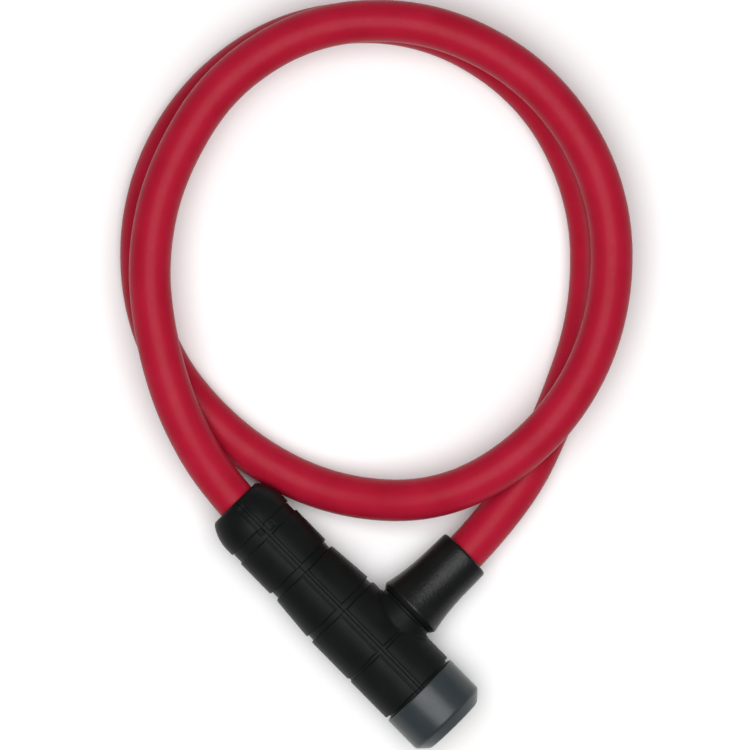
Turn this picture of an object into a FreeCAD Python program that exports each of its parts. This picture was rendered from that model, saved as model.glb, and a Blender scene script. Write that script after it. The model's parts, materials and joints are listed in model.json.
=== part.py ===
import FreeCAD, Part
import Sketcher
import math
import os

# Keyed cable lock, lying coiled as it is stored. All lengths are in millimetres.
#
# Row frame: +X runs along the lock body from the cable end to the key end, +Y points to the side
# where the cable's bolt goes in, +Z is up. The origin is on the surface below the lock body.
#
# Each piece of the lock is drawn in the lock's own straight frame: X along the body's axis from the
# body's middle, Y along the bolt, Z up. The whole lock is then rolled about its axis and lifted to
# where it lies, by lock_place. The cable is drawn directly in the row frame.

# Each group's comment says where its lengths along an axis start. Stations are distances from the
# body's rear face, X is in the lock's own frame, and along the bolt they start at the body's axis.
SIZES = {
    # lock body, stations from the rear face
    "body_length": 89.1,
    "axis_side": -0.78,
    "axis_height": 12.4,
    "roll_angle": 4.0,
    "rear_face_radius": 8.3,
    "rear_round": 12.83,
    "rear_round_end": 8.0,
    "slim_radius": 11.1,
    "wide_radius": 12.3,
    "taper_radius": 12.2,
    "collar_end": 10.0,
    "tile_one_start": 13.65,
    "tile_one_end": 25.5,
    "tile_two_start": 28.25,
    "tile_two_end": 41.5,
    "tile_three_start": 43.8,
    "tile_three_end": 58.3,
    "tile_four_start": 59.6,
    "tile_four_end": 73.9,
    "casing_end": 76.8,
    "channel_one_depth": 0.5,
    "channel_two_depth": 0.8,
    "channel_three_depth": 0.7,
    "channel_four_depth": 0.4,
    "seam_channel_width": 2.0,
    "seam_channel_depth": 0.45,
    # inside of the casing, stations from the rear face
    "rear_wall_end": 16.0,
    "cable_mouth_radius": 7.2,
    "cable_mouth_depth": 9.0,
    "cable_bore_radius": 6.15,
    "cavity_radius": 9.35,
    "boss_root": 7.35,
    "boss_radius": 9.8,
    "boss_rim": 11.75,
    "boss_neck_radius": 8.7,
    "boss_face": 13.3,
    "boss_bore_radius": 6.5,
    # grey end cap, start as a station from the rear face
    "cap_start": 74.9,
    "cap_radius": 12.4,
    "cap_chamfer_length": 2.9,
    "cap_chamfer_height": 3.1,
    "cap_rear_round": 0.5,
    "cap_lip_radius": 11.2,
    "cap_lip_depth": 2.1,
    "cap_bore_radius": 9.4,
    "cap_wall": 2.2,
    "cap_hole_radius": 6.7,
    # die-cast housing, stations from the rear face
    "housing_start": 17.8,
    "housing_end": 85.0,
    "housing_radius": 9.3,
    "spigot_root": 2.0,
    "spigot_radius": 6.4,
    "spigot_face": 12.8,
    "ferrule_bore_end": 31.2,
    "barrel_bore_start": 66.7,
    "barrel_bore_radius": 8.05,
    # bolt and its bore: the station from the rear face, then distances along the bolt
    "bolt_station": 56.4,
    "bolt_radius": 4.5,
    "bolt_bore_radius": 4.6,
    "bolt_tip": -5.0,
    "bolt_tip_chamfer": 1.2,
    "bolt_bore_end": -6.0,
    "bolt_groove_radius": 2.6,
    "bolt_groove_half": 1.8,
    "bolt_flange_start": 14.2,
    "bolt_flange_end": 16.2,
    "bolt_flange_radius": 7.0,
    "bolt_spigot_end": 19.5,
    "bolt_spigot_radius": 3.95,
    "seal_seat_radius": 6.0,
    "seal_seat_floor": 11.2,
    "seal_radius": 5.32,
    "seal_thickness": 0.66,
    # latch plate and its spring, X in the lock's own frame
    "latch_half_thickness": 1.5,
    "latch_radius": 6.2,
    "latch_hole_radius": 4.8,
    "latch_bar_half": 3.6,
    "latch_clearance": 0.15,
    "tab_start": 19.0,
    "tab_end": 21.0,
    "tab_half_width": 4.0,
    "pin_slot_back": 18.3,
    "pin_slot_clearance": 0.15,
    "pin_slot_ease": 0.2,
    "spring_line": 19.6,
    "spring_radius": 1.45,
    "spring_wire": 0.25,
    "spring_turns": 5,
    "spring_bore_radius": 1.8,
    "spring_floor": -8.6,
    # key cylinder, X in the lock's own frame
    "barrel_start": 24.05,
    "barrel_radius": 8.0,
    "rotor_bore_radius": 5.55,
    "rotor_radius": 5.5,
    "rotor_start": 22.4,
    "rotor_head_start": 41.0,
    "rotor_head_radius": 6.4,
    "rotor_head_bore": 6.5,
    "rotor_head_gap": 0.1,
    "rotor_face": 44.05,
    "crank_throw": 1.5,
    "crank_pin_radius": 1.0,
    "crank_pin_end": 18.95,
    "crank_passage_radius": 2.9,
    "clip_start": 23.0,
    "clip_thickness": 0.7,
    "clip_inner_radius": 4.85,
    "clip_outer_radius": 7.2,
    "clip_mouth_half": 2.2,
    "keyway_half_width": 1.2,
    "keyway_half_height": 3.9,
    "keyway_floor": 27.0,
    "wafer_first": 28.5,
    "wafer_pitch": 2.6,
    "wafer_thickness": 0.8,
    "wafer_slot": 1.0,
    "wafer_radius": 5.35,
    "wafer_side": 3.6,
    "wafer_notch_side": 2.3,
    "wafer_notch_top": 0.6,
    "wafer_window_half": 1.4,
    "wafer_window_height": 2.4,
    "wafer_spring_seat": -3.2,
    "wafer_spring_side": 3.0,
    "wafer_spring_radius": 0.45,
    "wafer_spring_bore": 0.25,
    "barrel_pin_station": 33.0,
    "barrel_pin_side": -7.0,
    "barrel_pin_half": 4.6,
    "small_pin_radius": 1.0,
    # cable ends, stations from the rear face
    "core_radius": 4.0,
    "cable_radius": 6.0,
    "ferrule_radius": 5.6,
    "body_ferrule_end": 31.0,
    "body_core_end": 30.0,
    "anchor_station": 25.0,
    "anchor_side": 5.95,
    "anchor_half": 6.0,
    "anchor_groove_radius": 4.9,
    "anchor_groove_half": 1.1,
    # plug, distances along the bolt from the body's axis
    "sleeve_face": 13.35,
    "sleeve_face_radius": 9.3,
    "sleeve_rim_radius": 9.9,
    "sleeve_rim_start": 14.4,
    "sleeve_rim_end": 15.8,
    "sleeve_waist": 27.6,
    "sleeve_waist_radius": 8.25,
    "sleeve_flare_round": 44.0,
    "sleeve_shoulder": 35.3,
    "sleeve_shoulder_radius": 8.1,
    "sleeve_end": 36.8,
    "sleeve_end_radius": 6.9,
    "sleeve_end_round": 1.6,
    "sleeve_flange_bore": 7.1,
    "sleeve_flange_floor": 16.4,
    "sleeve_ferrule_bore": 5.7,
    "sleeve_ferrule_floor": 28.1,
    "sleeve_cable_bore": 6.3,
    "plug_ferrule_start": 16.3,
    "plug_ferrule_end": 28.0,
    "plug_core_end": 19.8,
    "plug_pin_station": 17.9,
    "plug_pin_radius": 0.9,
    "plug_pin_half": 5.4,
    # fits
    "press_gap": 0.02,
    "snug_gap": 0.05,
    "overcut": 1.0,
}

WAFER_COUNT = 5
TANGENT_SHARE = 0.45
FULL_TURN = 360.0
HALF_TURN = 180.0
X_AXIS = FreeCAD.Vector(1, 0, 0)
Y_AXIS = FreeCAD.Vector(0, 1, 0)
Z_AXIS = FreeCAD.Vector(0, 0, 1)

# The cable's route in the row frame, from inside the lock body's rear to inside the plug: one loop on
# top, then down past the body and round again below. The last two points lie on the bolt's line.
TOP = 18.5
LOW = 6.1
CABLE_ROUTE = [
    (-27.5, -0.78, 12.4),
    (-50.0, -0.78, 12.4),
    (-73.0, 5.0, 18.0),
    (-94.0, 16.0, TOP),
    (-112.5, 31.0, TOP),
    (-126.0, 52.0, TOP),
    (-133.5, 82.0, TOP),
    (-125.5, 113.0, TOP),
    (-101.5, 137.0, TOP),
    (-67.0, 146.5, TOP),
    (-32.0, 137.5, TOP),
    (-6.0, 111.5, TOP),
    (4.5, 78.0, 19.6),
    (-3.0, 43.5, 16.6),
    (-28.0, 18.9, 6.7),
    (-61.5, 9.5, LOW),
    (-96.0, 14.0, LOW),
    (-124.0, 37.5, LOW),
    (-136.5, 71.0, LOW),
    (-131.0, 106.5, LOW),
    (-106.0, 134.0, LOW),
    (-70.0, 143.5, LOW),
    (-36.5, 133.5, LOW),
    (-12.5, 111.0, LOW),
    (1.5, 83.5, LOW),
]
PLUG_POINTS = (55.0, 28.2)

doc = FreeCAD.newDocument("cable_lock")


def fill_sheet():
    sheet = doc.addObject("Spreadsheet::Sheet", "Sizes")
    for row, (name, value) in enumerate(SIZES.items(), start=1):
        sheet.set(f"A{row}", name)
        sheet.set(f"B{row}", str(value))
        sheet.setAlias(f"B{row}", name)
    doc.recompute()
    return sheet


class Size:
    """A number together with the sheet expression that gives it."""

    def __init__(self, text, value):
        self.text = text
        self.value = value

    def __add__(self, other):
        other = as_size(other)
        return Size(f"({self.text} + {other.text})", self.value + other.value)

    def __sub__(self, other):
        other = as_size(other)
        return Size(f"({self.text} - {other.text})", self.value - other.value)

    def __mul__(self, factor):
        return Size(f"({self.text} * {factor})", self.value * factor)

    def __neg__(self):
        return Size(f"(0 - {self.text})", -self.value)


def as_size(number):
    return number if isinstance(number, Size) else Size(str(number), float(number))


def cell(name):
    return Size(f"Sizes.{name}", float(sheet.get(name)))


def station(name):
    """A distance from the body's rear face, as X in the lock's own frame."""
    return cell(name) - cell("body_length") * 0.5


def bind(item, field, size):
    size = as_size(size)
    item.setExpression(field, size.text)


# ---------------------------------------------------------------- drawing helpers


def new_body(label):
    body = doc.addObject("PartDesign::Body", label)
    body.Label = label
    return body


def origin_plane(body, role):
    return next(item for item in body.Origin.OriginFeatures if item.Role == role)


def arc_between(start, end, radius, side):
    """A counter-clockwise arc whose ends are start and end, bulging to the left of the way from
    start to end (side 1) or to its right (side -1)."""
    chord = end - start
    across = FreeCAD.Vector(-chord.y, chord.x, 0).normalize() * side
    centre = (start + end) * 0.5 - across * math.sqrt(radius**2 - (chord.Length / 2) ** 2)
    first, last = (end, start) if side > 0 else (start, end)
    angles = [math.atan2(point.y - centre.y, point.x - centre.x) for point in (first, last)]
    return Part.ArcOfCircle(Part.Circle(centre, Z_AXIS, radius), *angles)


def outline(body, role, corners):
    """A closed sketch through the corners. A corner is (x, y), or (x, y, radius, side) where the
    stretch that leads to it is an arc. Every corner and radius is bound to the sheet."""
    sketch = body.newObject("Sketcher::SketchObject", f"{body.Name}_outline")
    sketch.AttachmentSupport = [(origin_plane(body, role), "")]
    sketch.MapMode = "FlatFace"
    sizes = [tuple(as_size(part) for part in corner[:2]) for corner in corners]
    points = [FreeCAD.Vector(x.value, y.value, 0) for x, y in sizes]
    ends = []
    for index, corner in enumerate(corners):
        before = points[index - 1]
        here = points[index]
        if len(corner) == 2:
            sketch.addGeometry(Part.LineSegment(before, here))
            ends.append((1, 2))
            continue
        radius = as_size(corner[2])
        side = corner[3]
        geometry = sketch.addGeometry(arc_between(before, here, radius.value, side))
        ends.append((2, 1) if side > 0 else (1, 2))
        hold = sketch.addConstraint(Sketcher.Constraint("Radius", geometry, radius.value))
        sketch.setExpression(f"Constraints[{hold}]", radius.text)
    for index, (x, y) in enumerate(sizes):
        following = (index + 1) % len(corners)
        last = ends[index][1]
        sketch.addConstraint(Sketcher.Constraint("Coincident", index, last, following, ends[following][0]))
        for kind, size in (("DistanceX", x), ("DistanceY", y)):
            hold = sketch.addConstraint(Sketcher.Constraint(kind, -1, 1, index, last, size.value))
            sketch.setExpression(f"Constraints[{hold}]", size.text)
    return sketch


def turned(label, role, axis, corners, angle=FULL_TURN, reversed_turn=False):
    """A body turned about an axis of its sketch: H_Axis is the sketch's x, V_Axis its y."""
    body = new_body(label)
    sketch = outline(body, role, corners)
    turn = body.newObject("PartDesign::Revolution", f"{label}_turn")
    turn.Profile = sketch
    turn.ReferenceAxis = (sketch, [axis])
    turn.Angle = angle
    turn.Reversed = reversed_turn
    doc.recompute()
    return body


def primitive(body, kind, name, low, fields, turn):
    item = body.newObject(kind, f"{body.Name}_{name}")
    item.Placement = FreeCAD.Placement(FreeCAD.Vector(), turn)
    for field, size in fields.items():
        bind(item, field, size)
    for letter, size in zip("xyz", low):
        bind(item, f".Placement.Base.{letter}", size)
    doc.recompute()
    return item


TURN_TO = {
    "x": FreeCAD.Rotation(Y_AXIS, 90),
    "y": FreeCAD.Rotation(X_AXIS, -90),
    "z": FreeCAD.Rotation(),
}


def rod(body, kind, name, axis, radius, low, length):
    fields = {"Radius": radius, "Height": length}
    return primitive(body, f"PartDesign::{kind}Cylinder", name, low, fields, TURN_TO[axis])


def block(body, kind, name, low, high):
    fields = {}
    for field, start, end in zip(("Length", "Width", "Height"), low, high):
        fields[field] = as_size(end) - start
    return primitive(body, f"PartDesign::{kind}Box", name, low, fields, FreeCAD.Rotation())


def ring_piece(label, axis, inner, outer, start, end):
    """A plain ring or tube about the body's axis (x) or the bolt's line (y)."""
    if axis == "x":
        corners = [(start, inner), (end, inner), (end, outer), (start, outer)]
        return turned(label, "XY_Plane", "H_Axis", corners)
    corners = [(inner, start), (outer, start), (outer, end), (inner, end)]
    return turned(label, "XY_Plane", "V_Axis", corners)


def pin_piece(label, axis, radius, low, length):
    pin = doc.addObject("Part::Cylinder", label)
    pin.Label = label
    bind(pin, "Radius", radius)
    bind(pin, "Height", length)
    pin.Placement = lock_place(low, TURN_TO[axis])
    return pin


def lock_place(offset=(0, 0, 0), turn=None):
    """The lock's place in the row frame, after an offset and a turn in the lock's own frame."""
    inner = FreeCAD.Placement(
        FreeCAD.Vector(*(as_size(part).value for part in offset)), turn or FreeCAD.Rotation()
    )
    roll = FreeCAD.Rotation(X_AXIS, -cell("roll_angle").value)
    lift = FreeCAD.Vector(0, cell("axis_side").value, cell("axis_height").value)
    return FreeCAD.Placement(lift, roll).multiply(inner)


# Pieces about the bolt's line are turned about Y and then moved along the body to the bolt.


def place_piece(piece, on_bolt=False):
    piece.Placement = lock_place((station("bolt_station") if on_bolt else 0, 0, 0))
    return piece


# ---------------------------------------------------------------- casing and cap


def casing_outline():
    slim = cell("slim_radius")
    wide = cell("wide_radius")
    taper = cell("taper_radius")
    rear = -(cell("body_length") * 0.5)
    return [
        (rear, cell("cable_mouth_radius")),
        (rear, cell("rear_face_radius")),
        (station("rear_round_end"), slim, cell("rear_round"), 1),
        (station("collar_end"), slim),
        (station("collar_end"), slim - cell("channel_one_depth")),
        (station("tile_one_start"), slim - cell("channel_one_depth")),
        (station("tile_one_start"), slim),
        (station("tile_one_end"), slim),
        (station("tile_one_end"), slim - cell("channel_two_depth")),
        (station("tile_two_start"), slim - cell("channel_two_depth")),
        (station("tile_two_start"), slim),
        (station("tile_two_end"), taper),
        (station("tile_two_end"), taper - cell("channel_three_depth")),
        (station("tile_three_start"), taper - cell("channel_three_depth")),
        (station("tile_three_start"), wide),
        (station("tile_three_end"), wide),
        (station("tile_three_end"), wide - cell("channel_four_depth")),
        (station("tile_four_start"), wide - cell("channel_four_depth")),
        (station("tile_four_start"), wide),
        (station("tile_four_end"), wide),
        (station("tile_four_end"), slim),
        (station("casing_end"), slim),
        (station("casing_end"), cell("cavity_radius")),
        (station("rear_wall_end"), cell("cavity_radius")),
        (station("rear_wall_end"), cell("cable_bore_radius")),
        (station("cable_mouth_depth"), cell("cable_bore_radius")),
    ]


def cut_seam(body, side):
    """The shallow channel that runs along both parting lines of the casing."""
    depth = cell("seam_channel_depth")
    half = cell("seam_channel_width") * 0.5
    low_side = as_size(0) if side > 0 else -half
    high_side = half if side > 0 else as_size(0)
    steps = (
        ("slim", "rear_round_end", "tile_two_start", cell("slim_radius")),
        ("wide", "tile_two_end", "tile_four_end", cell("wide_radius")),
    )
    for name, start, end, radius in steps:
        for tag, low, high in (
            ("top", radius - depth, radius + cell("overcut")),
            ("base", -radius - cell("overcut"), -radius + depth),
        ):
            block(
                body, "Subtractive", f"seam_{name}_{tag}",
                (station(start), low_side, low), (station(end), high_side, high),
            )


def casing_plain_half():
    body = turned("casing_plain_half", "XZ_Plane", "H_Axis", casing_outline(), HALF_TURN, False)
    cut_seam(body, -1)
    return place_piece(body)


def casing_bolt_half():
    body = turned("casing_bolt_half", "XZ_Plane", "H_Axis", casing_outline(), HALF_TURN, True)
    cut_seam(body, 1)
    bolt = station("bolt_station")
    root = cell("boss_root")
    for name, radius, end in (
        ("boss", cell("boss_radius"), cell("boss_rim")),
        ("boss_neck", cell("boss_neck_radius"), cell("boss_face")),
    ):
        rod(body, "Additive", name, "y", radius, (bolt, root, 0), end - root)
    rod(
        body, "Subtractive", "cavity", "x", cell("cavity_radius"),
        (station("rear_wall_end"), 0, 0), cell("casing_end") - cell("rear_wall_end"),
    )
    rod(
        body, "Subtractive", "boss_bore", "y", cell("boss_bore_radius"),
        (bolt, 0, 0), cell("boss_face") + cell("overcut"),
    )
    return place_piece(body)


def end_cap():
    front = cell("body_length") * 0.5
    radius = cell("cap_radius")
    start = station("cap_start")
    edge = cell("cap_rear_round")
    corners = [
        (start, cell("cap_lip_radius")),
        (start, radius - edge),
        (start + edge, radius, edge, 1),
        (front - cell("cap_chamfer_length"), radius),
        (front, radius - cell("cap_chamfer_height")),
        (front, cell("cap_hole_radius")),
        (front - cell("cap_wall"), cell("cap_hole_radius")),
        (front - cell("cap_wall"), cell("cap_bore_radius")),
        (start + cell("cap_lip_depth"), cell("cap_bore_radius")),
        (start + cell("cap_lip_depth"), cell("cap_lip_radius")),
    ]
    return place_piece(turned("end_cap", "XY_Plane", "H_Axis", corners))


# ---------------------------------------------------------------- housing, bolt seal, latch


def lock_housing():
    start = station("housing_start")
    end = station("housing_end")
    barrel_bore = station("barrel_bore_start")
    corners = [
        (start, cell("ferrule_radius") + cell("snug_gap")),
        (start, cell("housing_radius")),
        (end, cell("housing_radius")),
        (end, cell("barrel_bore_radius")),
        (barrel_bore, cell("barrel_bore_radius")),
        (barrel_bore, 0),
        (station("ferrule_bore_end"), 0),
        (station("ferrule_bore_end"), cell("ferrule_radius") + cell("snug_gap")),
    ]
    body = turned("lock_housing", "XY_Plane", "H_Axis", corners)
    bolt = station("bolt_station")
    root = cell("spigot_root")
    face = cell("spigot_face")
    rod(body, "Additive", "spigot", "y", cell("spigot_radius"), (bolt, root, 0), face - root)
    for name, radius, floor in (
        ("bolt_bore", cell("bolt_bore_radius"), cell("bolt_bore_end")),
        ("seal_seat", cell("seal_seat_radius"), cell("seal_seat_floor")),
    ):
        rod(
            body, "Subtractive", name, "y", radius,
            (bolt, floor, 0), face - floor + cell("overcut"),
        )
    gap = cell("latch_clearance")
    side = cell("latch_half_thickness") + gap
    floor = -cell("latch_radius") - gap
    top = cell("housing_radius") + cell("overcut")
    block(
        body, "Subtractive", "latch_slot",
        (bolt - cell("latch_radius") - gap, -side, floor), (cell("tab_end") + gap, side, top),
    )
    tab_side = cell("tab_half_width") + gap
    block(
        body, "Subtractive", "tab_slot",
        (cell("tab_start") - gap, -tab_side, -cell("latch_bar_half") - gap),
        (cell("tab_end") + gap, tab_side, top),
    )
    rod(
        body, "Subtractive", "spring_bore", "z", cell("spring_bore_radius"),
        (cell("spring_line"), 0, cell("spring_floor")), -cell("spring_floor") - cell("latch_bar_half"),
    )
    rod(
        body, "Subtractive", "crank_passage", "x", cell("crank_passage_radius"),
        (cell("tab_end"), 0, 0), barrel_bore - cell("tab_end") + cell("overcut"),
    )
    cut_pins(body)
    return place_piece(body)


def cut_pins(body):
    """The cross holes for the two pins that hold the key cylinder and the cable's ferrule."""
    hole = cell("small_pin_radius") + cell("press_gap")
    half = cell("barrel_pin_half") + cell("press_gap")
    rod(
        body, "Subtractive", "barrel_pin_hole", "z", hole,
        (cell("barrel_pin_station"), cell("barrel_pin_side"), -half), half * 2,
    )
    if body.Name == "lock_housing":
        half = cell("anchor_half") + cell("press_gap")
        rod(
            body, "Subtractive", "anchor_hole", "z", hole,
            (station("anchor_station"), cell("anchor_side"), -half), half * 2,
        )


def bolt_seal():
    seal = doc.addObject("Part::Torus", "bolt_seal")
    bind(seal, "Radius1", cell("seal_radius"))
    bind(seal, "Radius2", cell("seal_thickness"))
    middle = cell("seal_seat_floor") + cell("seal_thickness")
    seal.Placement = lock_place((station("bolt_station"), middle, 0), TURN_TO["y"])
    return seal


def crank_offset():
    """How far the crank pin stands to the side and below the rotor's line with the lock open."""
    return cell("crank_throw") * math.sqrt(0.5)


def latch_plate():
    """A flat plate round the bolt, with a tab across its end that the crank pin works in. The lock is
    open: the plate's hole is in line with the bolt."""
    body = new_body("latch_plate")
    half = cell("latch_half_thickness")
    bolt = station("bolt_station")
    bar = cell("latch_bar_half")
    rod(body, "Additive", "eye", "y", cell("latch_radius"), (bolt, -half, 0), half * 2)
    block(body, "Additive", "bar", (bolt, -half, -bar), (cell("tab_end"), half, bar))
    side = cell("tab_half_width")
    block(body, "Additive", "tab", (cell("tab_start"), -side, -bar), (cell("tab_end"), side, bar))
    rod(
        body, "Subtractive", "hole", "y", cell("latch_hole_radius"),
        (bolt, -half - cell("overcut"), 0), (half + cell("overcut")) * 2,
    )
    pin = crank_offset()
    reach = cell("crank_pin_radius") + cell("pin_slot_clearance")
    ease = cell("pin_slot_ease")
    block(
        body, "Subtractive", "pin_slot",
        (cell("pin_slot_back"), pin - reach - ease, -pin - reach),
        (cell("tab_end") + cell("overcut"), cell("crank_throw") + reach + ease, -pin + reach),
    )
    return place_piece(body)


def latch_spring():
    """A coil spring under the tab, which lifts the plate."""
    floor = cell("spring_floor").value
    wire = cell("spring_wire").value
    height = -cell("latch_bar_half").value - floor - 2 * wire
    radius = cell("spring_radius").value
    helix = Part.makeHelix(height / cell("spring_turns").value, height, radius)
    circle = Part.Circle(FreeCAD.Vector(radius, 0, 0), Y_AXIS, wire)
    section = Part.Wire([circle.toShape()])
    spring = doc.addObject("Part::Feature", "latch_spring")
    spring.Shape = Part.Wire(helix.Edges).makePipeShell([section], True, True)
    spring.Placement = lock_place((cell("spring_line"), 0, floor + wire))
    return spring


# ---------------------------------------------------------------- key cylinder


def key_barrel():
    front = cell("body_length") * 0.5 - cell("cap_wall")
    start = cell("barrel_start")
    counterbore = cell("rotor_head_start") - cell("rotor_head_gap")
    corners = [
        (start, cell("rotor_bore_radius")),
        (start, cell("barrel_radius")),
        (front, cell("barrel_radius")),
        (front, cell("rotor_head_bore")),
        (counterbore, cell("rotor_head_bore")),
        (counterbore, cell("rotor_bore_radius")),
    ]
    body = turned("key_barrel", "XY_Plane", "H_Axis", corners)
    cut_pins(body)
    return place_piece(body)


def wafer_line(index):
    return cell("wafer_first") + cell("wafer_pitch") * index


def key_rotor():
    radius = cell("rotor_radius")
    gap = cell("snug_gap")
    clip_slot = cell("clip_inner_radius") - gap
    clip_start = cell("clip_start") - gap
    clip_end = cell("clip_start") + cell("clip_thickness") + gap
    corners = [
        (cell("rotor_start"), 0),
        (cell("rotor_start"), radius),
        (clip_start, radius),
        (clip_start, clip_slot),
        (clip_end, clip_slot),
        (clip_end, radius),
        (cell("rotor_head_start"), radius),
        (cell("rotor_head_start"), cell("rotor_head_radius")),
        (cell("rotor_face"), cell("rotor_head_radius")),
        (cell("rotor_face"), 0),
    ]
    body = turned("key_rotor", "XY_Plane", "H_Axis", corners)
    pin = crank_offset()
    rod(
        body, "Additive", "crank_pin", "x", cell("crank_pin_radius"),
        (cell("crank_pin_end"), pin, -pin), cell("clip_start") - cell("crank_pin_end"),
    )
    width = cell("keyway_half_width")
    height = cell("keyway_half_height")
    beyond = radius + cell("overcut")
    block(
        body, "Subtractive", "keyway",
        (cell("keyway_floor"), -width, -height),
        (cell("rotor_face") + cell("overcut"), width, height),
    )
    half_slot = cell("wafer_slot") * 0.5
    side = cell("wafer_side") + gap
    for index in range(WAFER_COUNT):
        line = wafer_line(index)
        block(
            body, "Subtractive", f"wafer_slot_{index}",
            (line - half_slot, -side, -beyond),
            (line + half_slot, cell("wafer_notch_side") + gap, beyond),
        )
        block(
            body, "Subtractive", f"spring_slot_{index}",
            (line - half_slot, 0, cell("wafer_spring_seat")), (line + half_slot, side, beyond),
        )
    return place_piece(body)


def solid_piece(kind, name, fields, low, turn=None):
    item = doc.addObject(kind, name)
    for field, size in fields.items():
        bind(item, field, size)
    item.Placement = FreeCAD.Placement(
        FreeCAD.Vector(*(as_size(part).value for part in low)), turn or FreeCAD.Rotation()
    )
    return item


def box_piece(name, low, high):
    fields = {}
    for field, start, end in zip(("Length", "Width", "Height"), low, high):
        fields[field] = as_size(end) - start
    return solid_piece("Part::Box", name, fields, low)


def one_wafer(index):
    """A flat wafer as the right key holds it, flush with the rotor, notched for its spring."""
    line = wafer_line(index)
    half = cell("wafer_thickness") * 0.5
    side = cell("wafer_side")
    radius = cell("wafer_radius")
    over = cell("overcut")
    disc = solid_piece(
        "Part::Cylinder", f"wafer_disc_{index}",
        {"Radius": radius, "Height": half * 2}, (line - half, 0, 0), TURN_TO["x"],
    )
    strip = box_piece(
        f"wafer_strip_{index}", (line - half, -side, -radius - over), (line + half, side, radius + over)
    )
    blank = doc.addObject("Part::Common", f"wafer_blank_{index}")
    blank.Base = disc
    blank.Tool = strip
    notch = box_piece(
        f"wafer_notch_{index}",
        (line - over, cell("wafer_notch_side"), -radius - over),
        (line + over, side + over, cell("wafer_notch_top")),
    )
    width = cell("wafer_window_half")
    height = cell("wafer_window_height")
    window = box_piece(
        f"wafer_window_{index}", (line - over, -width, -height), (line + over, width, height)
    )
    cuts = doc.addObject("Part::MultiFuse", f"wafer_cuts_{index}")
    cuts.Shapes = [notch, window]
    wafer = doc.addObject("Part::Cut", f"wafer_{index}")
    wafer.Base = blank
    wafer.Tool = cuts
    return wafer


def one_wafer_spring(index):
    low = (wafer_line(index), cell("wafer_spring_side"), cell("wafer_spring_seat"))
    length = cell("wafer_notch_top") - cell("wafer_spring_seat")
    outer = solid_piece(
        "Part::Cylinder", f"wafer_spring_outer_{index}",
        {"Radius": cell("wafer_spring_radius"), "Height": length}, low,
    )
    inner = solid_piece(
        "Part::Cylinder", f"wafer_spring_inner_{index}",
        {"Radius": cell("wafer_spring_bore"), "Height": length}, low,
    )
    spring = doc.addObject("Part::Cut", f"wafer_spring_{index}")
    spring.Base = outer
    spring.Tool = inner
    return spring


def grouped(label, members):
    group = doc.addObject("Part::Compound", label)
    group.Links = members
    return place_piece(group)


def wafers():
    return grouped("wafers", [one_wafer(index) for index in range(WAFER_COUNT)])


def wafer_springs():
    return grouped("wafer_springs", [one_wafer_spring(index) for index in range(WAFER_COUNT)])


def rotor_clip():
    start = cell("clip_start")
    body = ring_piece(
        "rotor_clip", "x", cell("clip_inner_radius"), cell("clip_outer_radius"),
        start, start + cell("clip_thickness"),
    )
    over = cell("overcut")
    half = cell("clip_mouth_half")
    block(
        body, "Subtractive", "mouth",
        (start - over, -half, 0),
        (start + cell("clip_thickness") + over, half, cell("clip_outer_radius") + over),
    )
    return place_piece(body)


def barrel_pin():
    low = (cell("barrel_pin_station"), cell("barrel_pin_side"), -cell("barrel_pin_half"))
    return pin_piece("barrel_pin", "z", cell("small_pin_radius"), low, cell("barrel_pin_half") * 2)


# ---------------------------------------------------------------- cable ends and plug


def body_ferrule():
    start = station("housing_start")
    outer = cell("ferrule_radius")
    inner = cell("core_radius")
    groove = station("anchor_station")
    half = cell("anchor_groove_half")
    corners = [
        (start, inner),
        (start, outer),
        (groove - half, outer),
        (groove - half, cell("anchor_groove_radius")),
        (groove + half, cell("anchor_groove_radius")),
        (groove + half, outer),
        (station("body_ferrule_end"), outer),
        (station("body_ferrule_end"), inner),
    ]
    return place_piece(turned("body_ferrule", "XY_Plane", "H_Axis", corners))


def anchor_pin():
    low = (station("anchor_station"), cell("anchor_side"), -cell("anchor_half"))
    return pin_piece("anchor_pin", "z", cell("small_pin_radius"), low, cell("anchor_half") * 2)


def plug_sleeve():
    corners = [
        (cell("sleeve_flange_bore"), cell("sleeve_face")),
        (cell("sleeve_face_radius"), cell("sleeve_face")),
        (cell("sleeve_rim_radius"), cell("sleeve_rim_start")),
        (cell("sleeve_rim_radius"), cell("sleeve_rim_end")),
        (cell("sleeve_waist_radius"), cell("sleeve_waist"), cell("sleeve_flare_round"), 1),
        (cell("sleeve_shoulder_radius"), cell("sleeve_shoulder")),
        (cell("sleeve_end_radius"), cell("sleeve_end"), cell("sleeve_end_round"), -1),
        (cell("sleeve_cable_bore"), cell("sleeve_end")),
        (cell("sleeve_cable_bore"), cell("sleeve_ferrule_floor")),
        (cell("sleeve_ferrule_bore"), cell("sleeve_ferrule_floor")),
        (cell("sleeve_ferrule_bore"), cell("sleeve_flange_floor")),
        (cell("sleeve_flange_bore"), cell("sleeve_flange_floor")),
    ]
    return place_piece(turned("plug_sleeve", "XY_Plane", "V_Axis", corners), on_bolt=True)


def locking_bolt():
    radius = cell("bolt_radius")
    tip = cell("bolt_tip")
    bevel = cell("bolt_tip_chamfer")
    groove = cell("bolt_groove_radius")
    half = cell("bolt_groove_half")
    corners = [
        (0, tip),
        (radius - bevel, tip),
        (radius, tip + bevel),
        (radius, -half),
        (groove, -half),
        (groove, half),
        (radius, half),
        (radius, cell("bolt_flange_start")),
        (cell("bolt_flange_radius"), cell("bolt_flange_start")),
        (cell("bolt_flange_radius"), cell("bolt_flange_end")),
        (cell("bolt_spigot_radius"), cell("bolt_flange_end")),
        (cell("bolt_spigot_radius"), cell("bolt_spigot_end")),
        (0, cell("bolt_spigot_end")),
    ]
    body = turned("locking_bolt", "XY_Plane", "V_Axis", corners)
    cut_plug_pin(body)
    return place_piece(body, on_bolt=True)


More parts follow.
